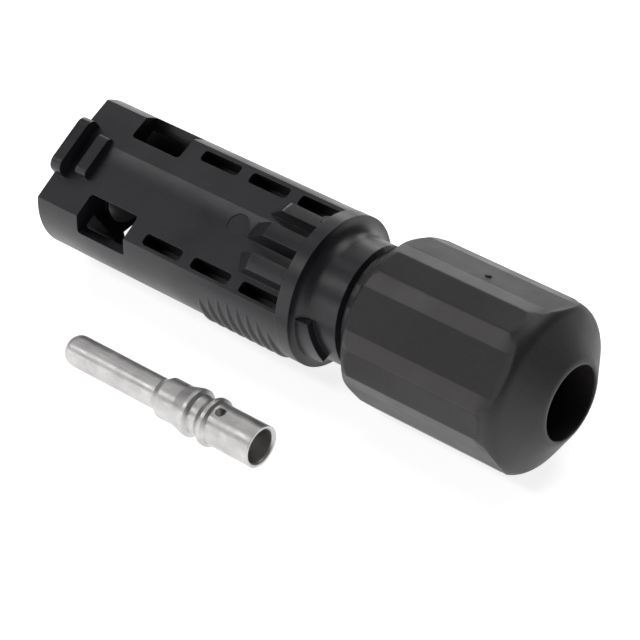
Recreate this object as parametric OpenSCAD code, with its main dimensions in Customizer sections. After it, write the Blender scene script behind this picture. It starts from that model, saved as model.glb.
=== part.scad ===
// Cable connector for solar panels: pin-side plug with a screwed cable gland, and its loose crimp contact.
// Frame: millimetres, +X runs along the connector towards the cable, +Z is up as the plug lies,
// the origin is the centre of the front (mating) rim on the connector's axis.

/* [Housing] */
// Radius of the round housing
housing_r = 9.7; // [9.5:0.1:10.2]
// Height of the flat facet's edges above the axis
facet_h = 5.9; // [5.6:0.1:6.1]
// Radius of the hollow curve beside the facet's step
facet_hollow_r = 14; // [10:1:20]
// Distance of the facet's step from its middle line
facet_step_y = 2.3; // [1.5:0.1:2.5]
// Lean of the facet from upright, towards -Y, as the plug lies
facet_roll = 31.8; // [0:0.1:45]
// Where the full-round rear ring begins
ring_front_x = 38.9; // [38.6:0.1:39.2]
// Where the rear ring ends and the dished shoulder begins
ring_rear_x = 40.8; // [40.6:0.1:41]
// Radius of the latch room behind the mouth
room_r = 8.1; // [7.9:0.1:8.2]
// Front of the latch room
room_front_x = 6.9; // [6.7:0.1:7.2]
// Rear of the latch room
room_rear_x = 15.2; // [15:0.1:16]
// Radius of the bore that takes the mating nose
nose_bore_r = 4.2; // [4:0.1:4.4]
// End of the nose bore
nose_bore_end_x = 29; // [28:0.5:30]

/* [Facet details] */
// Width of the tall coding plate at the rim
plate_w = 7.9; // [6:0.1:9]
// Height of the coding plate's top above the axis
plate_top = 8.4; // [8:0.1:9]
// Width of the low coding rib behind it
coding_rib_w = 5.9; // [5:0.1:7]
// Height of the coding rib's top above the axis
coding_rib_top = 7.35; // [7.2:0.05:7.6]
// Front edge of the latch windows
window_x = 6.7; // [6.5:0.1:7]
// Length of the latch windows
window_len = 7.8; // [7:0.1:8]
// Front edge of the first side pocket
pocket_x = 17.1; // [17:0.1:17.5]
// Length of each side pocket
pocket_len = 5.95; // [5:0.05:6.2]
// Distance from one side pocket to the next
pocket_pitch = 7.75; // [7.5:0.05:7.8]
// Number of grip ridges on each round side
ridge_count = 8; // [4:1:8]
// Spacing of the grip ridges
ridge_pitch = 1.55; // [1.4:0.05:1.6]

/* [Thread and gland nut] */
// Crest radius of the neck's thread
crest_r = 7.8; // [7.7:0.1:7.9]
// Lead of the single-start right-hand thread
lead = 2.5; // [2.5:0.1:2.6]
// End of the threaded neck
neck_end_x = 60; // [59:0.5:61]
// Bore of the neck, which holds the seal and the clamp cage
neck_bore_r = 5.9; // [5.8:0.05:6]
// Front face of the gland nut, two turns off from tight
nut_x = 48.8; // [48.6:0.1:49]
// Where the nut's conical end begins
nut_cone_x = 71.1; // [70.9:0.1:71.3]
// Rear face of the nut
nut_end_x = 74.7; // [74.5:0.1:75]
// Radius over the nut's raised lands
nut_land_r = 10.95; // [10.8:0.05:11.1]
// Distance of the nut's wide flats from the axis
nut_flat_d = 10.1; // [10:0.05:10.2]
// Radius of the round collar behind the flats
nut_collar_r = 10.75; // [10.6:0.05:10.9]
// Radius of the cable hole
cable_hole_r = 4.75; // [4.5:0.05:5]

/* [Crimp contact] */
// Radius of the contact's pin
pin_r = 2; // [1.9:0.05:2.1]
// Length of the contact
contact_len = 30.3; // [30:0.1:31]
// Outer radius of the crimp barrel
barrel_r = 2.65; // [2.6:0.05:2.7]
// Inner radius of the crimp barrel
barrel_bore_r = 2.15; // [2.1:0.05:2.2]
// Distance of the loose contact's tip behind the rim
contact_x = 16.4; // [10:0.1:30]
// Distance of the loose contact from the connector's axis, towards -Y
contact_y = -21.3; // [-30:0.1:-18]

/* [Hidden] */
tiny = 0.01;
round_fn = 96;

// heights of the facet and of the inside of the facet wall
facet_top = facet_h + 0.6;
room_top = facet_h - 1;
facet_half_w = 7.7;
grip_ribs_y = [[3.28, 4.8], [-0.63, 1.35], [-4.75, -2.9]];
rib_ramp_x = [22.47, 33.3];
rib_draft = 0.27;
latch_gap = [5.75, 8.1];
latch_gap_h = 3.3;

// neck, shoulder and thread
shoulder_r = 1.95;
neck_x = ring_rear_x + shoulder_r;
groove_depth = 0.75;
groove_start_x = 46.3;
groove_start_angle = 20;
relief_x = 44.2;
relief_low_angle = -30;
relief_span = 180;
seat_x = 43.4;
chamber_x = 33;
chamber_r = 4.25;
stop_r = 3.25;
stop_x = 31.3;
pin_hole_r = 2.15;

// nut
nut_bore_r = 8.05;
nut_thread_x = 50.5;
nut_thread_turns = 3;
nut_lobes = 5;
land_angle = 15.1;
land_half_angle = 9.1;
flat_half_angle = 15.1;
nut_round_r = 2.2;
nut_round_x = nut_cone_x + (0.15 - 0.8146 * nut_round_r) / 1.514;
nut_chamber_x = 64;
nut_chamber_end_x = 70.5;
nut_chamber_end_r = 6.3;

// loose contact: it lies on its two ridges, level with the nut's lowest point
ridge_r = 3.05;
rest_z = -10.78;
contact_z = rest_z + ridge_r;

dark_plastic = [0.17, 0.17, 0.19];
nut_plastic = [0.24, 0.22, 0.22];
rubber = [0.08, 0.08, 0.08];
steel = [0.7, 0.7, 0.72];
tin = [0.82, 0.81, 0.8];

// --- helpers -------------------------------------------------------------------------------

// extrudes a section drawn in (Y, Z) along X
module along_x(x0, x1) {
    translate([x0, 0, 0])
        rotate([90, 0, 90])
            linear_extrude(x1 - x0)
                children();
}

// turns an outline drawn as (radius, X) about the X axis
module about_x(degrees = 360, start = 0) {
    rotate([start, 0, 0])
        rotate([90, 0, 90])
            rotate_extrude(angle = degrees, $fn = round_fn)
                children();
}

module ring_x(x0, x1, outer, inner = 0) {
    along_x(x0, x1)
        difference() {
            circle(outer, $fn = round_fn);
            if (inner > 0) circle(inner, $fn = round_fn);
        }
}

// a rounded rectangle in the plane, as exact arcs
module rounded_rect(w, h, r) {
    square([w - 2 * r, h], center = true);
    square([w, h - 2 * r], center = true);
    for (sx = [-1, 1], sy = [-1, 1])
        translate([sx * (w / 2 - r), sy * (h / 2 - r)])
            circle(r, $fn = 24);
}

// one ring of a helical bar: four corners at angle a (from +Y towards +Z)
function bar_ring(x, a, r0, r1, half0, half1) = [
    for (c = [[r0, -half0], [r1, -half1], [r1, half1], [r0, half0]])
        [x + c[1], c[0] * cos(a), c[0] * sin(a)]
];

// a right-hand helical bar of trapezoid section between radii r0 and r1
module helical_bar(x0, a0, turns, r0, r1, half0, half1, per_turn = 30) {
    steps = ceil(turns * per_turn);
    points = [
        for (i = [0 : steps])
            each bar_ring(x0 + lead * turns * i / steps, a0 + 360 * turns * i / steps, r0, r1, half0, half1)
    ];
    sides = [
        for (i = [0 : steps - 1], k = [0 : 3])
            let (p = 4 * i + k, q = 4 * i + (k + 1) % 4)
                each [[p, q, q + 4], [p, q + 4, p + 4]]
    ];
    last = 4 * steps;
    ends = [[0, 2, 1], [0, 3, 2], [last, last + 1, last + 2], [last, last + 2, last + 3]];
    polyhedron(points, concat(sides, ends));
}

// --- plug housing --------------------------------------------------------------------------

// round section cut by a facet: a raised upper slope, a soft step down, and a lower slope
module body_section(r) {
    step_slope = 12;
    low_slope = 1.6;
    high_slope = atan((facet_top - facet_h) / (facet_half_w - facet_step_y));
    steps = 8;
    hollow = [
        for (i = [0 : steps])
            let (a = step_slope - (step_slope - low_slope) * i / steps)
                [
                    facet_step_y - facet_hollow_r * (sin(step_slope) - sin(a)),
                    facet_top - facet_hollow_r * (cos(a) - cos(step_slope))
                ]
    ];
    low_end = hollow[steps];
    intersection() {
        circle(r, $fn = round_fn);
        polygon(concat(
            [[12, -12], [12, facet_top - (12 - facet_step_y) * tan(high_slope)]],
            hollow,
            [[-12, low_end.y - (12 + low_end.x) * tan(low_slope)], [-12, -12]]
        ));
    }
}

// tall plate at the rim and low rib behind it
module coding_tabs() {
    base = 4;
    translate([0, 0, base]) {
        along_x(0.15, 1.75)
            translate([0, (plate_top - base) / 2])
                rounded_rect(plate_w, plate_top - base, 1.3);
        along_x(3.2, 4.9)
            translate([0, (coding_rib_top - base) / 2])
                rounded_rect(coding_rib_w, coding_rib_top - base, 0.7);
    }
}

// three ribs that rise from the facet in a conical ramp and run back into the ring
module grip_ribs() {
    top_r = housing_r - 0.08;
    intersection() {
        along_x(rib_ramp_x[0], ring_front_x + 0.5)
            intersection() {
                circle(top_r, $fn = round_fn);
                for (span = grip_ribs_y)
                    polygon([
                        [span[0] - rib_draft, facet_h - 1], [span[0], housing_r],
                        [span[1], housing_r], [span[1] + rib_draft, facet_h - 1]
                    ]);
            }
        about_x()
            polygon([
                [0, rib_ramp_x[0]], [top_r - 0.35, rib_ramp_x[1] - 0.35], [top_r - 0.1, rib_ramp_x[1]],
                [housing_r + 0.1, rib_ramp_x[1] + 0.9], [housing_r + 0.1, ring_front_x + 1],
                [0, ring_front_x + 1]
            ]);
    }
}

// half discs where the outer ribs meet the ring
module rib_end_marks() {
    for (mark = [[29.7, 39], [-21.8, 38.7]])
        rotate([-mark[0], 0, 0])
            translate([mark[1], 0, 8])
                cylinder(h = housing_r - 7.98, r = 0.75, $fn = 48);
}

// shallow round mark left by an ejector pin on the facet
module ejector_mark() {
    translate([27.5, 0.2, 6.15])
        rotate([3, 0, 0])
            cylinder(h = 3, r = 1.5, $fn = 64);
}

// curved grip ridges on both round sides, longest in the middle of each patch;
// every ridge is an arc of a smaller circle, so it sinks into the wall at its ends
module grip_ridges() {
    height = 0.36;
    half_w = 0.46;
    middle = (ridge_count - 1) / 2;
    top_r = housing_r + height;
    for (patch = [-98, 116], i = [0 : ridge_count - 1]) {
        reach = 36 - 0.85 * pow(i - middle, 2);
        offset_r = (top_r * top_r - housing_r * housing_r) / (2 * (top_r - housing_r * cos(reach)));
        rotate([-patch, 0, 0])
            translate([0, 0, offset_r])
                about_x(100, 40)
                    translate([top_r - offset_r - half_w, 26.55 + i * ridge_pitch])
                        circle(half_w, $fn = 32);
    }
}

// row of side pockets just inside each edge of the facet
module side_pockets() {
    for (side = [-1, 1], i = [0 : 2])
        translate([pocket_x + i * pocket_pitch + pocket_len / 2, side * 6.38, 2.6])
            linear_extrude(6)
                rounded_rect(pocket_len, 1.55, 0.45);
}

// latch windows at the two upper corners, cut along the diagonal of each corner
module latch_windows() {
    for (side = [-1, 1])
        rotate([side * -53, 0, 0])
            translate([window_x + window_len / 2, 0, 4.5])
                linear_extrude(8)
                    rounded_rect(window_len, 4.55, 0.4);
}

// two openings under the front, where the mating latches run
module lower_openings() {
    for (side = [-1, 1])
        rotate([side * 157, 0, 0])
            translate([4.7, 0, 5])
                linear_extrude(8)
                    rounded_rect(5.6, 5, 0.7);
}

// ratchet tooth that stops the nut, on the dished shoulder
module stop_tooth() {
    tooth_angle = 74;
    rotate([tooth_angle, 0, 0])
        intersection() {
            translate([0, 0, 7])
                linear_extrude(1.75)
                    polygon([[40.5, -3.1], [43.9, -2.7], [44.6, -2], [43, 3.2], [40.5, 3.2]]);
            ring_x(40, 46, 8.75);
        }
}

// the bore for the mating nose, the latch slots beside it, the latch room,
// then the contact's chamber and the gland bore
module cavity() {
    ring_x(-1, nose_bore_end_x, nose_bore_r);
    along_x(-1, room_front_x + 0.1)
        intersection() {
            difference() {
                circle(latch_gap[1], $fn = round_fn);
                square([2 * latch_gap[0], 30], center = true);
            }
            square([30, 2 * latch_gap_h], center = true);
        }
    along_x(room_front_x, room_rear_x)
        intersection() {
            circle(room_r, $fn = round_fn);
            translate([0, room_top - 10]) square([40, 20], center = true);
        }
    ring_x(nose_bore_end_x - 1, stop_x + 1, pin_hole_r);
    about_x()
        polygon([
            [0, stop_x - 0.6], [pin_hole_r, stop_x - 0.6], [stop_r, stop_x + 0.5],
            [stop_r, chamber_x + 0.1], [0, chamber_x + 0.1]
        ]);
    ring_x(chamber_x, seat_x + 0.5, chamber_r);
    ring_x(seat_x, neck_end_x + 1, neck_bore_r);
}

module shoulder_and_neck() {
    difference() {
        about_x()
            polygon([
                [0, ring_front_x], [housing_r + 0.05, ring_front_x], [housing_r + 0.05, ring_rear_x],
                [housing_r - 0.1, neck_x], [crest_r, neck_x], [crest_r, neck_end_x - 0.6],
                [crest_r - 0.6, neck_end_x], [0, neck_end_x]
            ]);
        about_x() translate([crest_r + shoulder_r, neck_x]) circle(shoulder_r, $fn = 64);
        about_x(relief_span, 90 - relief_low_angle - relief_span)
            polygon([
                [crest_r + 0.3, relief_x - 0.65], [crest_r + 0.3, relief_x + 0.65],
                [crest_r - groove_depth, relief_x + 0.3], [crest_r - groove_depth, relief_x - 0.3]
            ]);
        for (end_angle = [relief_low_angle, relief_low_angle + relief_span])
            rotate([-end_angle, 0, 0])
                translate([relief_x, 0, crest_r - groove_depth])
                    cylinder(h = groove_depth + 0.3, r1 = 0.3, r2 = 0.65, $fn = 32);
        helical_bar(groove_start_x, groove_start_angle, 5.8,
            crest_r - groove_depth, crest_r + 0.2, 0.42, 0.82);
    }
}

module plug_housing() {
    color(dark_plastic)
        rotate([facet_roll, 0, 0])
            difference() {
                union() {
                    along_x(0, ring_front_x + 0.5) body_section(housing_r);
                    coding_tabs();
                    grip_ribs();
                    rib_end_marks();
                    grip_ridges();
                    shoulder_and_neck();
                    stop_tooth();
                }
                cavity();
                ejector_mark();
                side_pockets();
                latch_windows();
                lower_openings();
            }
}

// --- parts inside --------------------------------------------------------------------------

// sprung sleeve whose four tines catch the contact's groove
module retention_clip() {
    sleeve_r = 4.2;
    wall = 0.3;
    window_w = 3.4;
    window_end_x = 40.2;
    color(steel) {
        difference() {
            ring_x(chamber_x + 0.2, 41.6, sleeve_r, sleeve_r - wall);
            for (k = [0 : 3])
                rotate([90 * k + 45, 0, 0])
                    translate([chamber_x + 1.6, -window_w / 2, 3])
                        cube([window_end_x - chamber_x - 1.6, window_w, 3]);
        }
        for (k = [0 : 3])
            about_x(34, 90 * k + 28)
                polygon([
                    [sleeve_r - wall + 0.05, window_end_x + 0.3], [sleeve_r - 0.05, window_end_x + 0.3],
                    [sleeve_r - 0.05, 39.8], [2.95, 37.1], [2.7, 37.3], [sleeve_r - wall + 0.05, 40]
                ]);
    }
}

// ribbed grommet that seals round the cable
module cable_seal() {
    seal_x = 44.2;
    rib_pitch = 2.4;
    color(rubber)
        about_x()
            difference() {
                translate([3, seal_x]) square([2.84, 7.6]);
                for (k = [0 : 2]) translate([5.95, seal_x + 1.4 + k * rib_pitch]) circle(0.7, $fn = 32);
                for (k = [0 : 2]) translate([2.9, seal_x + 1.4 + k * rib_pitch]) circle(0.6, $fn = 32);
            }
}

// cage with sprung fingers that the nut's cone closes on the cable
module clamp_cage() {
    cage_x = 57.4;
    finger_count = 8;
    slot_w = 1.3;
    color(dark_plastic)
        difference() {
            about_x()
                polygon([
                    [4.9, cage_x], [5.75, cage_x], [5.75, 65.6], [6.72, 68.2],
                    [6.4, 69.6], [5.2, 69.6], [4.9, 68.8]
                ]);
            for (k = [0 : finger_count - 1])
                rotate([k * 360 / finger_count, 0, 0])
                    translate([60.6, -slot_w / 2, 3])
                        cube([12, slot_w, 5]);
        }
}

// --- gland nut -----------------------------------------------------------------------------

// cuts everything beyond a flat at distance d, facing angle a, and runs out in a curve before the collar
module flat_cut(a, d) {
    run_out = 70.3;
    rotate([-a, 0, 0])
        translate([0, 9, 0])
            rotate([90, 0, 0])
                linear_extrude(18)
                    polygon([
                        [nut_x - 1, d], [run_out, d], [run_out + 0.5, d + 0.06],
                        [run_out + 1, d + 0.22], [run_out + 1.45, d + 0.5], [run_out + 1.8, d + 0.9],
                        [run_out + 2, d + 1.4], [run_out + 2, d + 4], [nut_x - 1, d + 4]
                    ]);
}

// five lands stand a little proud of five wide flats, with a bevel between each land and flat
module nut_flats() {
    flat_corner_r = nut_flat_d / cos(flat_half_angle);
    land_corner = [nut_land_r * sin(land_half_angle), nut_land_r * cos(land_half_angle)];
    bevel_corner = [flat_corner_r * sin(36 - flat_half_angle), flat_corner_r * cos(36 - flat_half_angle)];
    step = bevel_corner - land_corner;
    bevel_tilt = atan2(-step.y, step.x);
    bevel_d = land_corner.x * sin(bevel_tilt) + land_corner.y * cos(bevel_tilt);
    for (k = [0 : nut_lobes - 1]) {
        a = land_angle + 360 * k / nut_lobes;
        flat_cut(a, nut_land_r * cos(land_half_angle));
        flat_cut(a + 180 / nut_lobes, nut_flat_d);
        for (side = [-1, 1]) flat_cut(a + side * bevel_tilt, bevel_d);
    }
}

module gland_nut() {
    color(nut_plastic)
        rotate([facet_roll, 0, 0]) {
            difference() {
                about_x()
                    union() {
                        polygon([
                            [0, nut_x], [nut_land_r - 1.3, nut_x], [nut_land_r - 0.3, nut_x + 0.9],
                            [nut_land_r, nut_x + 1.9], [nut_land_r, 69], [nut_collar_r, 69.8],
                            [nut_collar_r - nut_round_r, 69.8],
                            [nut_collar_r - 0.449 * nut_round_r, nut_round_x + 0.8344 * nut_round_r],
                            [cable_hole_r + 0.62, nut_end_x - 0.13], [cable_hole_r + 0.25, nut_end_x],
                            [0, nut_end_x]
                        ]);
                        translate([nut_collar_r - nut_round_r, nut_round_x]) circle(nut_round_r, $fn = 96);
                    }
                nut_flats();
                about_x()
                    polygon([
                        [0, nut_x - 1], [nut_bore_r + 0.6, nut_x - 1], [nut_bore_r + 0.6, nut_x],
                        [nut_bore_r, nut_x + 0.6], [nut_bore_r, nut_chamber_x],
                        [nut_chamber_end_r, nut_chamber_end_x], [0, nut_chamber_end_x]
                    ]);
                ring_x(nut_chamber_end_x - 1, nut_end_x + 1, cable_hole_r);
            }
            helical_bar(nut_thread_x, groove_start_angle + 360 * (nut_thread_x - groove_start_x) / lead,
                nut_thread_turns, crest_r - 0.53, nut_bore_r + 0.3, 0.22, 0.52);
            gate_mark();
        }
}

// small stub left by the moulding gate on one wide flat
module gate_mark() {
    rotate([-46, 0, 0]) translate([60.6, 0, nut_flat_d - 0.3]) cylinder(h = 0.55, r = 0.42, $fn = 32);
}

// --- crimp contact -------------------------------------------------------------------------

module crimp_contact() {
    color(tin)
        translate([contact_x, contact_y, contact_z])
            difference() {
                about_x()
                    polygon(concat(
                        [[0, 0]],
                        [for (a = [0 : 15 : 90]) [0.5 + (pin_r - 0.5) * sin(a), 1.5 - 1.5 * cos(a)]],
                        [
                            [pin_r, 14.9], [2.6, 15.9], [2.6, 18.4], [ridge_r, 20.1], [ridge_r, 20.6],
                            [2.5, 20.9], [2.5, 22], [ridge_r, 22.9], [ridge_r, 23.4], [barrel_r, 23.7],
                            [barrel_r, contact_len], [0, contact_len]
                        ]
                    ));
                about_x()
                    polygon([
                        [0, 23.2], [barrel_bore_r, 24.4], [barrel_bore_r, contact_len - 0.25],
                        [barrel_bore_r + 0.2, contact_len + tiny], [0, contact_len + tiny]
                    ]);
                rotate([12, 0, 0]) translate([24.6, 0, 0]) cylinder(h = 5, r = 0.65, $fn = 32);
            }
}

plug_housing();
retention_clip();
cable_seal();
clamp_cage();
gland_nut();
crimp_contact();
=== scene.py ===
import math

import bpy
from mathutils import Matrix, Vector


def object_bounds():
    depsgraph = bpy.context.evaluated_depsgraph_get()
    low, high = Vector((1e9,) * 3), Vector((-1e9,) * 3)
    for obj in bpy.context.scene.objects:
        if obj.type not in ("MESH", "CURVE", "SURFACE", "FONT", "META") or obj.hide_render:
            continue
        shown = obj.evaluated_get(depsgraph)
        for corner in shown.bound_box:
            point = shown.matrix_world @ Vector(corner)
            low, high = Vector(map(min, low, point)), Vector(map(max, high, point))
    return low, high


MM = 0.001
FACET_ROLL = math.radians(31.8)  # the facet's lean towards -Y
VIEW = Vector((-0.51904, 0.62450, -0.58360))  # the way the main camera looks, from above the cable end
EYE_MM = Vector((217.6, -216.7, 196.5))
EYE_SHIFT_MM = (0.16, 0.26)  # fine shift of the eye, to the right and up in its own view
CAMERA_TWIST = math.radians(0.31)
CAMERA_LENS = 161.3

# the gland nut's section: five lands, with a bevel on each side of every land
NUT_LOBES = 5
LAND_ANGLE = math.radians(15.1) - FACET_ROLL
BEVEL_FROM, BEVEL_TO = math.radians(9.1), math.radians(20.9)  # off the middle of a land
BEVEL_END_X = (68.6 * MM, 70.2 * MM)  # where the bevels fade into the collar

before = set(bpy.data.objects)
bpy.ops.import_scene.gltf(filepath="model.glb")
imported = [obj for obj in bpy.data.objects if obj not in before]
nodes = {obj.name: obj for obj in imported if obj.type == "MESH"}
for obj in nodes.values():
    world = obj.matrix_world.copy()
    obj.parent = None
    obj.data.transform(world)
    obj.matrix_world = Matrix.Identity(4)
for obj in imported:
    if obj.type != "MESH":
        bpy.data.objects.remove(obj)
cad_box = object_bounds()
scene = bpy.context.scene


# --- camera ------------------------------------------------------------------------------

def make_camera():
    data = bpy.data.cameras.new("camera")
    data.lens = CAMERA_LENS
    data.sensor_width = 36.0
    data.clip_start = 0.01
    data.clip_end = 10.0
    camera = bpy.data.objects.new("camera", data)
    scene.collection.objects.link(camera)
    forward = VIEW.normalized()
    right = forward.cross(Vector((0, 0, 1))).normalized()
    up = right.cross(forward)
    turn = Matrix((right, up, -forward)).transposed().to_4x4()
    place = EYE_MM + EYE_SHIFT_MM[0] * right + EYE_SHIFT_MM[1] * up
    camera.matrix_world = Matrix.Translation(place * MM) @ turn @ Matrix.Rotation(CAMERA_TWIST, 4, "Z")
    scene.camera = camera


make_camera()


# --- material tools ----------------------------------------------------------------------

SMALL_EDGE = 0.12  # mm, radius of the shaded edge on small details
NUT_EDGE = 0.5  # mm, the nut's softer edges
MIX_A, MIX_B, MIX_RESULT = 6, 7, 2  # a mix node's colour sockets


def new_material(name):
    """A new node material, its node tree and its main shader."""
    material = bpy.data.materials.new(name)
    material.use_nodes = True
    tree = material.node_tree
    shader = tree.nodes["Principled BSDF"]
    return material, tree, shader


def add(tree, kind, inputs=None, **settings):
    """Adds a node; each input is either a value or a socket to link from."""
    node = tree.nodes.new(kind)
    for key, value in settings.items():
        setattr(node, key, value)
    for key, value in (inputs or {}).items():
        if isinstance(value, bpy.types.NodeSocket):
            tree.links.new(value, node.inputs[key])
        else:
            node.inputs[key].default_value = value
    return node


def noise(tree, coords, scale, detail=3.0, rough=0.55):
    inputs = {"Vector": coords, "Scale": scale, "Detail": detail, "Roughness": rough}
    return add(tree, "ShaderNodeTexNoise", inputs).outputs["Fac"]


def remap(tree, value, low, high, to_low, to_high):
    inputs = {"Value": value, "From Min": low, "From Max": high, "To Min": to_low, "To Max": to_high}
    return add(tree, "ShaderNodeMapRange", inputs).outputs["Result"]


def ramp(tree, value, stops):
    node = add(tree, "ShaderNodeValToRGB", {"Fac": value})
    elements = node.color_ramp.elements
    while len(elements) < len(stops):
        elements.new(0.5)
    for element, (place, colour) in zip(elements, stops):
        element.position = place
        element.color = (*colour, 1)
    return node.outputs["Color"]


def bumps(tree, shader, layers, edge=SMALL_EDGE):
    """Soft edges of radius edge (mm), then bump layers, each (height socket, distance in mm, strength)."""
    normal = add(tree, "ShaderNodeBevel", {"Radius": edge * MM}, samples=6).outputs["Normal"]
    for height, distance, strength in layers:
        inputs = {"Height": height, "Distance": distance * MM, "Strength": strength}
        node = add(tree, "ShaderNodeBump", inputs)
        tree.links.new(normal, node.inputs["Normal"])
        normal = node.outputs["Normal"]
    tree.links.new(normal, shader.inputs["Normal"])


def vary(tree, shader, socket, fac, low, high):
    """Drives a shader input with a noise, from low where the noise is weak to high where it is strong."""
    tree.links.new(remap(tree, fac, 0.3, 0.7, low, high), shader.inputs[socket])


def object_coords(tree):
    return add(tree, "ShaderNodeTexCoord").outputs["Object"]


def moulded_plastic(name, colours, rough, grain, edge=SMALL_EDGE):
    """Black moulded plastic: faint mottling, uneven sheen and a fine spark-eroded grain.

    colours is (dark, light); grain is (scale, depth in mm, strength).
    """
    material, tree, shader = new_material(name)
    coords = object_coords(tree)
    cloud = noise(tree, coords, 90.0, 4.0)
    speck = noise(tree, coords, 2600.0, 2.0)
    fleck = remap(tree, speck, 0.3, 0.7, -0.12, 0.12)
    mixed = add(tree, "ShaderNodeMath", {0: cloud, 1: fleck}, operation="ADD").outputs[0]
    colour = ramp(tree, mixed, [(0.3, colours[0]), (0.72, colours[1])])
    tree.links.new(colour, shader.inputs["Base Color"])
    vary(tree, shader, "Roughness", noise(tree, coords, 160.0, 3.0), rough - 0.05, rough + 0.06)
    grain_scale, grain_depth, grain_strength = grain
    fine = noise(tree, coords, grain_scale, 3.0, 0.65)
    wave = noise(tree, coords, 55.0, 2.0)
    bumps(tree, shader, [(wave, 0.05, 0.25), (fine, grain_depth, grain_strength)], edge)
    return material


def tinned_metal(name):
    """Turned and tin-plated contact: satin metal with soft blotches and fine tool marks round the axis."""
    material, tree, shader = new_material(name)
    coords = object_coords(tree)
    shader.inputs["Metallic"].default_value = 1.0
    tones = [(0.3, (0.50, 0.49, 0.485)), (0.55, (0.60, 0.59, 0.585)), (0.8, (0.70, 0.69, 0.685))]
    colour = ramp(tree, noise(tree, coords, 420.0, 5.0, 0.6), tones)
    tree.links.new(colour, shader.inputs["Base Color"])
    vary(tree, shader, "Roughness", noise(tree, coords, 700.0, 4.0), 0.34, 0.5)
    wave = {"Vector": coords, "Scale": 1400.0, "Distortion": 1.2, "Detail": 2.0}
    tool_marks = add(tree, "ShaderNodeTexWave", wave, wave_type="BANDS", bands_direction="X").outputs["Fac"]
    bumps(tree, shader, [(noise(tree, coords, 600.0, 4.0), 0.02, 0.5), (tool_marks, 0.006, 0.5)])
    return material


def rubber(name):
    """Matte black rubber of the seal."""
    material, tree, shader = new_material(name)
    coords = object_coords(tree)
    tones = [(0.3, (0.012, 0.012, 0.013)), (0.7, (0.024, 0.024, 0.025))]
    tree.links.new(ramp(tree, noise(tree, coords, 200.0, 4.0), tones), shader.inputs["Base Color"])
    vary(tree, shader, "Roughness", noise(tree, coords, 500.0), 0.62, 0.78)
    bumps(tree, shader, [(noise(tree, coords, 1800.0, 2.0), 0.02, 0.4)])
    return material


def spring_steel(name):
    """Bright rolled steel of the retention clip."""
    material, tree, shader = new_material(name)
    coords = object_coords(tree)
    shader.inputs["Metallic"].default_value = 1.0
    tones = [(0.3, (0.42, 0.42, 0.43)), (0.7, (0.6, 0.6, 0.61))]
    tree.links.new(ramp(tree, noise(tree, coords, 300.0, 4.0), tones), shader.inputs["Base Color"])
    vary(tree, shader, "Roughness", noise(tree, coords, 900.0), 0.25, 0.4)
    bumps(tree, shader, [(noise(tree, coords, 2500.0, 2.0), 0.005, 0.4)])
    return material


def nut_plastic(name):
    """The nut's matte charcoal plastic. Its ten bevels are smoother than its lands and flats, and carry a
    painted highlight: a paler colour that stands in for the light they reflect.
    """
    colours = ((0.0125, 0.0105, 0.0105), (0.020, 0.017, 0.017))
    material = moulded_plastic(name, colours, 0.48, (3600.0, 0.03, 0.6), NUT_EDGE)
    tree = material.node_tree
    shader = tree.nodes["Principled BSDF"]
    parts = add(tree, "ShaderNodeSeparateXYZ", {"Vector": object_coords(tree)})

    def calc(operation, first, second=0.0):
        return add(tree, "ShaderNodeMath", {0: first, 1: second}, operation=operation).outputs[0]

    lobe = 2 * math.pi / NUT_LOBES
    angle = calc("ARCTAN2", parts.outputs["Y"], parts.outputs["Z"])
    from_land = calc("SUBTRACT", angle, LAND_ANGLE)
    turned = calc("FLOORED_MODULO", calc("ADD", from_land, lobe / 2), lobe)
    off_land = calc("ABSOLUTE", calc("SUBTRACT", turned, lobe / 2))
    past_land = calc("GREATER_THAN", off_land, BEVEL_FROM)
    before_flat = calc("LESS_THAN", off_land, BEVEL_TO)
    fade = remap(tree, parts.outputs["X"], *BEVEL_END_X, 1.0, 0.0)
    mask = calc("MULTIPLY", calc("MULTIPLY", past_land, before_flat), fade)

    # painted highlight: the bevels get a paler base colour in place of the strip lights' reflection on them;
    # only the smoother roughness below is a real finish
    base = shader.inputs["Base Color"].links[0].from_socket
    mix = {"Factor": mask, MIX_A: base, MIX_B: (0.040, 0.035, 0.035, 1)}
    painted_highlight = add(tree, "ShaderNodeMix", mix, data_type="RGBA").outputs[MIX_RESULT]
    tree.links.new(painted_highlight, shader.inputs["Base Color"])
    rough = shader.inputs["Roughness"].links[0].from_socket
    smoother = calc("SUBTRACT", rough, calc("MULTIPLY", mask, 0.1))
    tree.links.new(smoother, shader.inputs["Roughness"])
    return material


MATERIALS = {
    "plug_housing": moulded_plastic(
        "housing_plastic", ((0.0105, 0.0105, 0.0135), (0.0155, 0.0155, 0.02)), 0.36, (5200.0, 0.02, 0.45)),
    "gland_nut": nut_plastic("nut_plastic"),
    "clamp_cage": moulded_plastic(
        "clamp_plastic", ((0.02, 0.02, 0.021), (0.03, 0.03, 0.031)), 0.5, (3600.0, 0.02, 0.5)),
    "cable_seal": rubber("seal_rubber"),
    "retention_clip": spring_steel("spring_steel"),
    "crimp_contact": tinned_metal("tinned_contact"),
}
for node_name, material in MATERIALS.items():
    slots = nodes[node_name].data.materials
    slots.clear()
    slots.append(material)


# --- floor, world and light ----------------------------------------------------------------

LIT_POINT = Vector((0.038, 0, 0))  # about the middle of the connector


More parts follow.
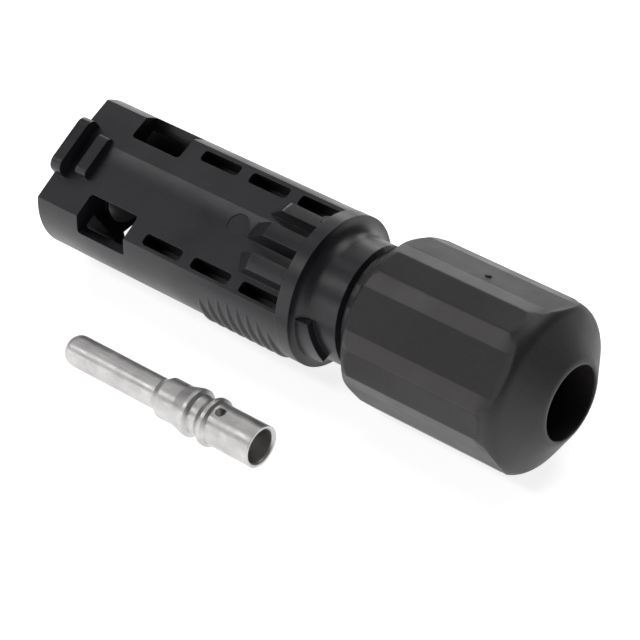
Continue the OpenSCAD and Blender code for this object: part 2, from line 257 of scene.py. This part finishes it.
def make_floor(z, half=3.0):
    """A plain pale floor, half metres to each side, that glows a little so that it renders white."""
    mesh = bpy.data.meshes.new("floor")
    corners = [(-half, -half, z), (half, -half, z), (half, half, z), (-half, half, z)]
    mesh.from_pydata(corners, [], [(0, 1, 2, 3)])
    floor = bpy.data.objects.new("floor", mesh)
    scene.collection.objects.link(floor)
    material, tree, shader = new_material("pale_floor")
    shader.inputs["Base Color"].default_value = (0.86, 0.86, 0.86, 1)
    shader.inputs["Roughness"].default_value = 0.9
    shader.inputs["Specular IOR Level"].default_value = 0.0
    shader.inputs["Emission Color"].default_value = (1, 1, 1, 1)
    shader.inputs["Emission Strength"].default_value = 0.8
    mesh.materials.append(material)


def reflection(angle):
    """Where the view is mirrored to by a surface turned by angle (degrees) from the facet, round the axis."""
    lean = math.radians(angle) - FACET_ROLL
    normal = Vector((0, math.sin(lean), math.cos(lean)))
    return (2 * normal.dot(-VIEW) * normal + VIEW).normalized()


def softbox(name, direction, distance, length, width, power):
    """A rectangular light seen from the object along direction, its length along the connector."""
    data = bpy.data.lights.new(name, "AREA")
    data.shape = "RECTANGLE"
    data.size = length
    data.size_y = width
    data.energy = power
    light = bpy.data.objects.new(name, data)
    scene.collection.objects.link(light)
    back = Vector(direction).normalized()
    across = Vector((1, 0, 0)).cross(back).normalized()
    along = across.cross(back)
    turn = Matrix((along, across, along.cross(across))).transposed().to_4x4()
    light.matrix_world = Matrix.Translation(LIT_POINT + back * distance) @ turn


def make_world(strength):
    world = bpy.data.worlds.new("studio")
    world.use_nodes = True
    world.node_tree.nodes["Background"].inputs["Color"].default_value = (1, 1, 1, 1)
    world.node_tree.nodes["Background"].inputs["Strength"].default_value = strength
    scene.world = world


# name, direction, distance, length and width in metres, watts
SOFTBOXES = [
    ("overhead", (-0.05, 0.45, 0.9), 1.0, 0.8, 0.3, 3.0),
    ("far_side", reflection(42), 1.1, 1.1, 0.30, 3.2),
    ("upper_slope", reflection(8), 1.1, 1.1, 0.22, 0.9),
    ("upper_strip", reflection(-11), 1.0, 0.9, 0.16, 1.9),
    ("near_strip", reflection(-31), 1.0, 0.9, 0.14, 1.3),
]
make_floor(cad_box[0][2])
make_world(0.11)
for box in SOFTBOXES:
    softbox(*box)

scene.view_settings.view_transform = "Standard"
scene.view_settings.look = "None"
